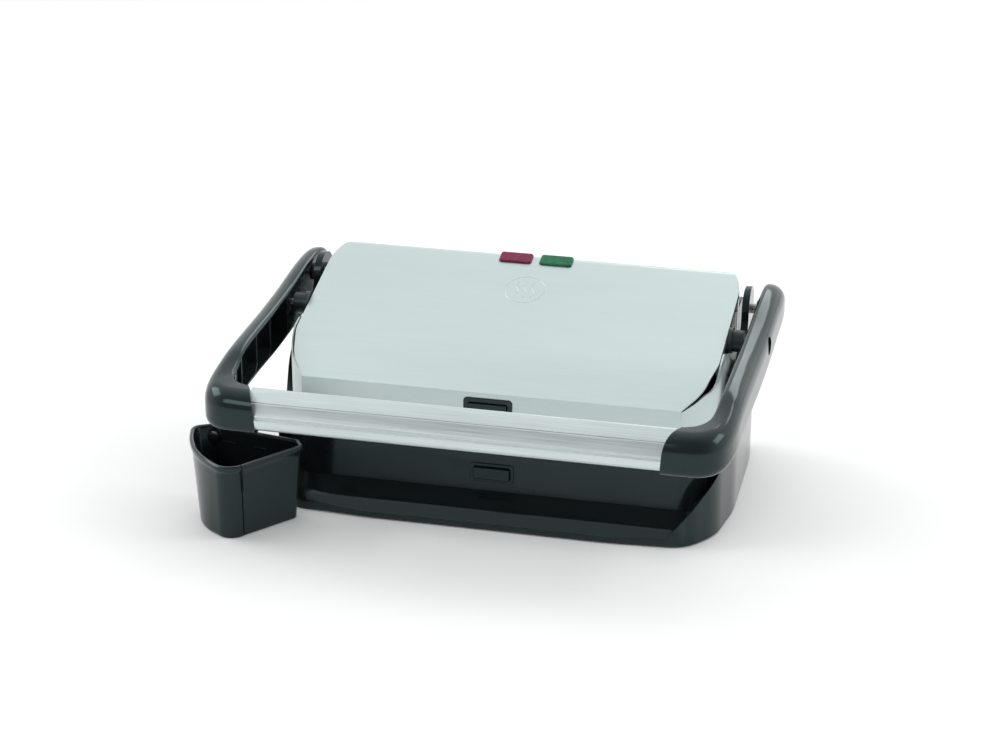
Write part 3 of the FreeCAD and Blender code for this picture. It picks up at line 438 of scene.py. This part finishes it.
def arm_ring(place, side):
    """One section of an arm: a rounded bulge outside and, between start and end, a channel inside."""
    inner_x, inner_y, outer_x, outer_y, low, high = eased(ARM_STATIONS, place)
    inner = Vector((inner_x, inner_y))
    outer = Vector((outer_x, outer_y))
    width = (outer - inner).length
    height = high - low
    small = min(width, height) / 2
    corners = [
        (width, 0.0, min(small, OUTER_LOW[0]), min(height * 0.22, OUTER_LOW[1]), -90),
        (width, height, min(width * 0.72, OUTER_HIGH[0]), min(height * 0.46, OUTER_HIGH[1]), 0),
        (0.0, height, min(small, INNER_HIGH), min(small, INNER_HIGH), 90),
        (0.0, 0.0, min(small, INNER_LOW), min(small, INNER_LOW), 180),
    ]
    section = []
    for across, up, round_across, round_up, first in corners:
        centre_across = across - round_across if across > 0 else round_across
        centre_up = up - round_up if up > 0 else round_up
        for step in range(CORNER_STEPS + 1):
            turn = math.radians(first + 90 * step / CORNER_STEPS)
            section.append((centre_across + round_across * math.cos(turn),
                            centre_up + round_up * math.sin(turn)))
        if first == 90:
            depth = CHANNEL_DEPTH if CHANNEL_START < place < CHANNEL_END else 0.0
            # the channel's deep upper corner is chamfered, clear of the rounded outer top
            section += [(0.0, height - CHANNEL_LIP), (depth * 0.42, height - CHANNEL_LIP - depth * 0.1),
                        (depth, height * 0.58), (depth, CHANNEL_LIP + depth * 0.1), (0.0, CHANNEL_LIP)]
    end_cut = max(0.0, 1.0 - place / END_CUT_LENGTH)
    ring = []
    for across, up in section:
        spot = inner.lerp(outer, across / width)
        # the end over the bar is cut on a curve that falls back towards the top and the rear
        fall = 0.5 * (1 - across / width) + 0.5 * up / height
        x = spot.x + END_CUT_DEPTH * end_cut * fall * fall
        ring.append(at(side * x, spot.y, low + up))
    return ring


def arm_mesh(name, side):
    """One arm: skin, channel, and the recess over the float screw."""
    places = [ARM_LENGTH * step / ARM_STEPS for step in range(ARM_STEPS + 1)]
    # closer sections where the rear end rounds off, and two at each end of the channel
    places += [ARM_LENGTH - 3 + step / 2 for step in range(6)]
    for edge in (CHANNEL_START, CHANNEL_END):
        places += [edge - 0.01, edge + 0.01]
    mesh = loft(name, [arm_ring(place, side) for place in sorted(set(places))])
    recess = round_bar("recess", at(side * RECESS_INNER, RECESS_BACK, RECESS_UP),
                       at(side * RECESS_OUTER, RECESS_BACK, RECESS_UP), RECESS_RADIUS * MM)
    return take_out(mesh, recess)


def add_arms():
    """Both arms with the ribs that stiffen their channels."""
    for name, side in (("right_arm", 1), ("left_arm", -1)):
        piece = add_piece(name + "_skin", arm_mesh(name + "_skin", side), "handle", "gloss_black", name)
        soften(piece, ARM_EDGE * MM)
        ribs = []
        for place in RIB_PLACES:
            inner_x, inner_y, outer_x, _, low, high = eased(ARM_STATIONS, place)
            # a rib starts inside the channel's mouth and is chamfered under the rounded outer top
            outline = ((inner_x + 4.5, low + 3.0), (outer_x - 2.6, low + 3.0), (outer_x - 2.6, high - 14.0),
                       (outer_x - 8.0, high - 3.4), (inner_x + 4.5, high - 3.4))
            for y in (inner_y, inner_y + RIB_THICKNESS):
                ribs.append([at(side * x, y, z) for x, z in outline])
        for number in range(0, len(ribs), 2):
            rib = add_piece("%s_rib_%d" % (name, number // 2),
                            loft("rib", ribs[number:number + 2]), "handle", "gloss_black")
            soften(rib, RIB_EDGE * MM)


# Grip bar -----------------------------------------------------------------------------------------

# The bar's section, back and up in millimetres, with corner radii: a narrow top, two sloping facets
# with a fine groove after each, a short upright front and a flat underside
BAR_SECTION = [
    (-71.0, 104.0, 8), (-71.4, 117.2, 3), (-75.0, 117.4, 2), (-84.6, 110.9, 0.4), (-84.8, 110.2, 0.2),
    (-85.5, 110.0, 0.4), (-91.9, 102.4, 1.2), (-91.4, 101.6, 0.4), (-91.4, 100.8, 0.4),
    (-92.7, 100.0, 0.8), (-92.3, 93.2, 5), (-86.0, 90.3, 4), (-73.5, 91.5, 5),
]
BAR_HALF_LENGTH = 151.0


def add_grip_bar():
    """The fluted bar, its ends tucked into the arms."""
    section = rounded(BAR_SECTION)
    rings = [[at(x, y, z) for y, z in section] for x in (-BAR_HALF_LENGTH, BAR_HALF_LENGTH)]
    mesh = loft("fluted_bar", rings)
    mesh.set_sharp_from_angle(angle=BAR_ANGLE)
    add_piece("fluted_bar", mesh, "handle", "bar_aluminium", "grip_bar")


# Lid cheeks ---------------------------------------------------------------------------------------

# Side view of the dark cheek inside the cover's rear corner, back and up in millimetres
CHEEK = [(100.0, 104.0, 8), (146.0, 108.0, 12), (154.0, 138.0, 9), (128.0, 139.0, 6), (100.0, 129.5, 6)]
# Its two faces, across from the press's middle plane
CHEEK_INNER = 144.0
CHEEK_OUTER = 159.6
CHEEK_EDGE = 1.2


def add_cheeks():
    """A glossy cheek on each side of the lid, between the cover's rear corner and the tower."""
    outline = rounded(CHEEK)
    for name, side in (("right_cheek", 1), ("left_cheek", -1)):
        rings = [[at(side * x, y, z) for y, z in outline] for x in (CHEEK_INNER, CHEEK_OUTER)]
        cheek = add_piece(name, loft(name, rings), "lid", "gloss_black")
        soften(cheek, CHEEK_EDGE * MM, 3)


# Drip cup -----------------------------------------------------------------------------------------

# Corners of the cup at its rim and at its foot; the four without a radius bound a groove in the wall
CUP_RIM = [(-221.5, -15, 8), (-208, -58, 95), (-168, -88.5, 13), (-160.9, -77.27), (-160.8, -77.11),
           (-160.3, -76.32), (-160.2, -76.16), (-131, -30, 3.5), (-137, -21, 3), (-209, -7.5, 7)]
CUP_FOOT = [(-210, -33, 8), (-200, -62, 45), (-170, -82, 12), (-162.9, -71.44), (-162.8, -71.3),
            (-162.3, -70.57), (-162.2, -70.42), (-136, -31.5, 3), (-141, -25, 2.6), (-204, -16, 7)]
CUP_STEPS = 10
CUP_TOP = 58.0
CUP_EDGE = 0.3

# The wall's profile: height, and distance outwards from the outline that tapers from rim to foot.
# Underside and foot, outer wall, rolled rim, inner wall, inner floor
CUP_PROFILE = [(0.05, -3.0), (0.05, -1.4), (0.5, -0.4), (1.6, 0.0), (3.0, 0.0), (3.8, 0.0)]
CUP_PROFILE += [(3.8 + 46.4 * step / 12, 0.0) for step in range(1, 13)]
CUP_PROFILE += [(51.0, 0.0), (52.8, 0.2), (53.4, 0.7), (54.4, 1.1), (56.0, 1.2), (57.4, 0.9),
                (58.0, 0.0), (58.0, -1.2), (57.5, -1.9), (56.2, -2.1)]
CUP_PROFILE += [(55.0 - 50.0 * step / 6, -2.2) for step in range(7)]
CUP_PROFILE += [(3.6, -2.8), (2.6, -4.2), (2.4, -6.5)]

# The first of the groove's two deep points along the outline, after three rounded corners and the
# groove's near edge. The groove and the sunk panel beyond it stop below the rim, and are left out of
# the rows of the profile that lie further in than INSIDE
GROOVE_START = 3 * (CUP_STEPS + 1) + 1
GROOVE_DEPTH = 1.5
PANEL_DEPTH = 0.5
GROOVE_TOP = 50.5
INSIDE = -2.0

# The stud at the cup's rear left corner: middle, and its rings as (radius, distance forward)
STUD = (-205.5, -13.0, 50.5)
STUD_RINGS = ((4.2, 0.0), (4.2, 1.2), (2.2, 1.9))
STUD_SIDES = 32

# The two bright strips inside the cup: where each starts, length, height and section
STRIP_STARTS = (-198.0, -173.0)
STRIP_LENGTH = 10.5
STRIP_UP = 47.2
STRIP_SECTION = ((0.0, 0.0), (0.5, 0.0), (0.5, 0.45), (0.0, 0.45))


def shifted(outline, distance):
    """An outline in the plane moved outwards by a distance along its own normals."""
    moved = []
    for index, point in enumerate(outline):
        along = outline[(index + 1) % len(outline)] - outline[index - 1]
        moved.append(point + Vector((along.y, -along.x)).normalized() * distance)
    return moved


def add_cup():
    """The drip cup, open at the top, with its groove, its sunk panel, a stud and two bright strips."""
    rim = rounded(CUP_RIM, CUP_STEPS)
    foot = rounded(CUP_FOOT, CUP_STEPS)
    turning = sum(a.x * b.y - b.x * a.y for a, b in zip(rim, rim[1:] + rim[:1]))
    outwards = 1.0 if turning > 0 else -1.0
    rings = []
    for height, distance in CUP_PROFILE:
        share = height / CUP_TOP
        outline = [low.lerp(high, share) for low, high in zip(foot, rim)]
        wall = shifted(outline, outwards * distance)
        if height < GROOVE_TOP and distance > INSIDE:
            grooved = shifted(outline, -outwards * GROOVE_DEPTH)
            sunk = shifted(outline, outwards * (distance - PANEL_DEPTH))
            wall[GROOVE_START:GROOVE_START + 2] = grooved[GROOVE_START:GROOVE_START + 2]
            panel_end = GROOVE_START + 3 + CUP_STEPS
            wall[GROOVE_START + 2:panel_end] = sunk[GROOVE_START + 2:panel_end]
        rings.append([at(x, y, height) for x, y in wall])
    cup = add_piece("cup_shell", loft("cup_shell", rings), "cup", "gloss_black", "drip_cup")
    soften(cup, CUP_EDGE * MM)
    turns = [math.tau * side / STUD_SIDES for side in range(STUD_SIDES)]
    stud = []
    for radius, forward in STUD_RINGS:
        stud.append([at(*STUD) + Vector((radius * MM * math.cos(turn), -forward * MM,
                                         radius * MM * math.sin(turn))) for turn in turns])
    add_piece("cup_stud", loft("cup_stud", stud), "cup", "zinc_steel")
    for number, start in enumerate(STRIP_STARTS):
        # the strips follow the slant of the cup's rear wall
        slit = [[at(x, -11.6 - 0.18 * (x + 208) - back, STRIP_UP + up) for back, up in STRIP_SECTION]
                for x in (start, start + STRIP_LENGTH)]
        add_piece("cup_slit_%d" % number, loft("cup_slit", slit), "cup", "zinc_steel")


# Mark on the cover --------------------------------------------------------------------------------

# Two points on the cover's slope, back and up, between which it is straight
BEND_BACK = 35.0
BEND_UP = 117.0
RIDGE_BACK = 150.0
RIDGE_UP = 155.5
SLOPE = (RIDGE_UP - BEND_UP) / (RIDGE_BACK - BEND_BACK)

# The mark: middle, ring, waves and the line that draws them, which lies partly in the sheet
MARK_MIDDLE = 109.0
RING_RADIUS = 15
RING_STEPS = 64
WAVE_SHIFTS = (-6, 0, 6)
WAVE_SWING = 1.6
WAVE_LENGTH = 16
WAVE_STEPS = 24
LINE_RADIUS = 0.42
LINE_SUNK = 0.34


def slope_point(x, along):
    """A point on the cover's slope, from its distance across and its plan distance back."""
    return at(x, along, BEND_UP + (along - BEND_BACK) * SLOPE)


def add_mark():
    """A plain sign for heat in fine raised lines: three wavy lines in a ring."""
    lines = [[(RING_RADIUS * math.cos(turn), MARK_MIDDLE + RING_RADIUS * math.sin(turn))
              for turn in (math.tau * step / RING_STEPS for step in range(RING_STEPS + 1))]]
    for shift in WAVE_SHIFTS:
        lines.append([(shift + WAVE_SWING * math.sin(math.tau * step / WAVE_STEPS),
                       MARK_MIDDLE - WAVE_LENGTH / 2 + WAVE_LENGTH * step / WAVE_STEPS)
                      for step in range(WAVE_STEPS + 1)])
    for number, line in enumerate(lines):
        curve = bpy.data.curves.new("mark_line", "CURVE")
        curve.dimensions = "3D"
        curve.bevel_depth = LINE_RADIUS * MM
        curve.bevel_resolution = 2
        spline = curve.splines.new("POLY")
        spline.points.add(len(line) - 1)
        for point, (x, along) in zip(spline.points, line):
            place = slope_point(x, along) - Vector((0, 0, LINE_SUNK * MM))
            point.co = (*place, 1.0)
        shape = bpy.data.objects.new("mark_shape", curve)
        bpy.context.scene.collection.objects.link(shape)
        graph = bpy.context.evaluated_depsgraph_get()
        mesh = bpy.data.meshes.new_from_object(shape.evaluated_get(graph))
        bpy.data.objects.remove(shape)
        for polygon in mesh.polygons:
            polygon.use_smooth = True
        add_piece("heat_mark_%d" % number, mesh, "lid", "zinc_steel")


# Width of the rounding on each node's edges in millimetres; the others get FINE_EDGE
FINE_EDGE = 0.15
EDGE_WIDTHS = {
    "base_shell": 1.2, "lower_housing": 0.8, "lid_housing": 0.8, "lid_cover": 0.35, "trim_band": 0.3,
    "right_arm": 0.8, "left_arm": 0.8, "grip_bar": 0.25, "drip_cup": 0.7, "lower_button": 0.25,
    "upper_button": 0.25, "lower_bezel": 0.4, "upper_bezel": 0.4, "red_lens": 0.3, "green_lens": 0.3,
    "lower_plate": 0.6, "upper_plate": 0.6, "lid_rear_cover": 0.5, "float_bosses": 0.5,
    "storage_feet": 0.9, "rubber_feet": 0.3, "hinge_pins": 0.3, "float_screws": 0.3,
    "bottom_cover": 0.4, "inlet_gland": 0.5,
}
for row in frame["record"]["subparts"]:
    node = nodes[row["node"]]
    segments = 3 if row["node"] == "base_shell" else 2
    dress(node, row["material_slot"])
    soften(node, EDGE_WIDTHS.get(row["node"], FINE_EDGE) * MM, segments)


add_arms()
add_grip_bar()
add_cheeks()
add_cup()
add_mark()


# Stage, light and camera --------------------------------------------------------------------------

FLOOR_HALF = 30.0

# The room's light: strongest away from this direction, weakest towards it
DIM_WAY = (0.1, -0.9, 0.42)
ROOM_LIGHT = 1.14
DIM_LIGHT = 0.30

# Soft boxes: name, place, width, depth and power; all are turned towards LIGHT_TARGET
LIGHT_TARGET = (0, 0, 0.1)
SOFT_BOXES = [
    ("key", (-0.9, -1.9, 1.5), 1.0, 0.8, 7),
    ("back", (0.5, 1.7, 1.3), 1.2, 0.6, 6),
    ("left", (-1.9, 0.1, 1.6), 1.4, 1.0, 14),
    ("right", (1.9, 0.3, 1.5), 1.4, 1.0, 14),
]

VIEW_AZIMUTH = math.radians(14.6)
VIEW_ELEVATION = math.radians(21.0)
EYE = at(425.7, -1599.4, 748.7)
SENSOR_WIDTH = 36.0
FOCAL_LENGTH = 89.4


def plain_stage():
    """A pale floor that carries on to the horizon."""
    mesh = bpy.data.meshes.new("floor")
    corners = [(x * FLOOR_HALF, y * FLOOR_HALF, 0) for x, y in ((-1, -1), (1, -1), (1, 1), (-1, 1))]
    mesh.from_pydata(corners, [], [(0, 1, 2, 3)])
    floor = bpy.data.objects.new("floor", mesh)
    bpy.context.scene.collection.objects.link(floor)
    material, shader, _ = new_material("floor", (0.93, 0.93, 0.93), 0.6)
    shader.inputs["Specular IOR Level"].default_value = 0.25
    mesh.materials.append(material)


def area_light(name, spot, width, depth, power):
    """A soft box at a spot, turned towards the press."""
    light = bpy.data.lights.new(name, "AREA")
    light.shape = "RECTANGLE"
    light.size = width
    light.size_y = depth
    light.energy = power
    lamp = bpy.data.objects.new(name, light)
    lamp.location = spot
    lamp.rotation_euler = (Vector(LIGHT_TARGET) - Vector(spot)).to_track_quat("-Z", "Y").to_euler()
    bpy.context.scene.collection.objects.link(lamp)


def light_studio():
    """A bright room, darker in front, with soft boxes at the front left, behind and on both sides."""
    world = bpy.data.worlds.new("studio")
    bpy.context.scene.world = world
    world.use_nodes = True
    background = world.node_tree.nodes["Background"]
    background.inputs["Color"].default_value = (0.97, 0.98, 0.98, 1.0)
    tree = world.node_tree
    coordinates = tree.nodes.new("ShaderNodeTexCoord")
    facing = tree.nodes.new("ShaderNodeVectorMath")
    facing.operation = "DOT_PRODUCT"
    facing.inputs[1].default_value = DIM_WAY
    dimming = tree.nodes.new("ShaderNodeMapRange")
    dimming.interpolation_type = "SMOOTHSTEP"
    dimming.inputs["From Min"].default_value = 0.05
    dimming.inputs["From Max"].default_value = 1.0
    dimming.inputs["To Min"].default_value = ROOM_LIGHT
    dimming.inputs["To Max"].default_value = DIM_LIGHT
    tree.links.new(coordinates.outputs["Generated"], facing.inputs[0])
    tree.links.new(facing.outputs["Value"], dimming.inputs["Value"])
    tree.links.new(dimming.outputs["Result"], background.inputs["Strength"])
    for box in SOFT_BOXES:
        area_light(*box)


def add_camera():
    """The camera, above the press and a little to the right of its front."""
    camera = bpy.data.cameras.new("camera")
    camera.sensor_width = SENSOR_WIDTH
    camera.lens = FOCAL_LENGTH
    camera.clip_end = 100.0
    seen = bpy.data.objects.new("camera", camera)
    right = Vector((math.cos(VIEW_AZIMUTH), math.sin(VIEW_AZIMUTH), 0))
    back = Vector((math.sin(VIEW_AZIMUTH) * math.cos(VIEW_ELEVATION),
                   -math.cos(VIEW_AZIMUTH) * math.cos(VIEW_ELEVATION), math.sin(VIEW_ELEVATION)))
    up = back.cross(right)
    turned = Matrix((right, up, back)).transposed().to_4x4()
    turned.translation = EYE
    seen.matrix_world = turned
    bpy.context.scene.collection.objects.link(seen)
    bpy.context.scene.camera = seen


bpy.context.scene.view_settings.view_transform = "Standard"
plain_stage()
light_studio()
add_camera()
